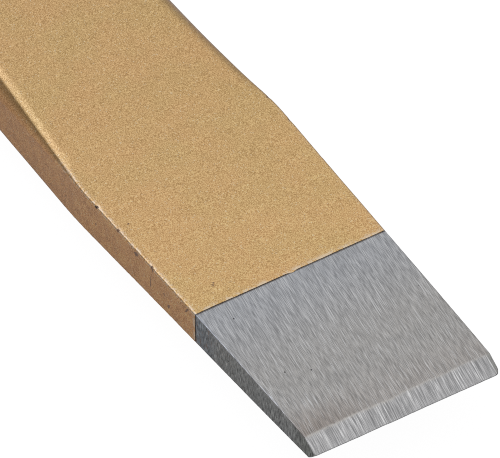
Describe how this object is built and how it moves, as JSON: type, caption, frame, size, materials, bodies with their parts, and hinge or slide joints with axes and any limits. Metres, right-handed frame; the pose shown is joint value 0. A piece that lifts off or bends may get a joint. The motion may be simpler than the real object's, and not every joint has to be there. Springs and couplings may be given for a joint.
{
  "type": "flat cold chisel",
  "caption": "Flat cold chisel: flat-oval shank forged out into a thin wide blade, lacquered, with a bare ground cutting end with a short double bevel and a bare tapered head.",
  "frame": {"origin": "middle of the cutting edge, halfway through the blade's thickness", "axes": "+X out of the cutting edge along the tool, Y along the cutting edge, +Z the normal of the broad upper face"},
  "size_m": [0.25, 0.0278, 0.0132],
  "materials": {
    "ground_steel": "ground bare, fine scratches along the tool, coarser across the edge bevels",
    "dark_primer": "matt, almost black",
    "gold_lacquer": "satin metallic gold-bronze with a fine sparkle"
  },
  "bodies": {
    "root": {"chisel_forging": "ground_steel", "dark_primer": "dark_primer", "gold_lacquer": "gold_lacquer"}
  },
  "joints": []
}
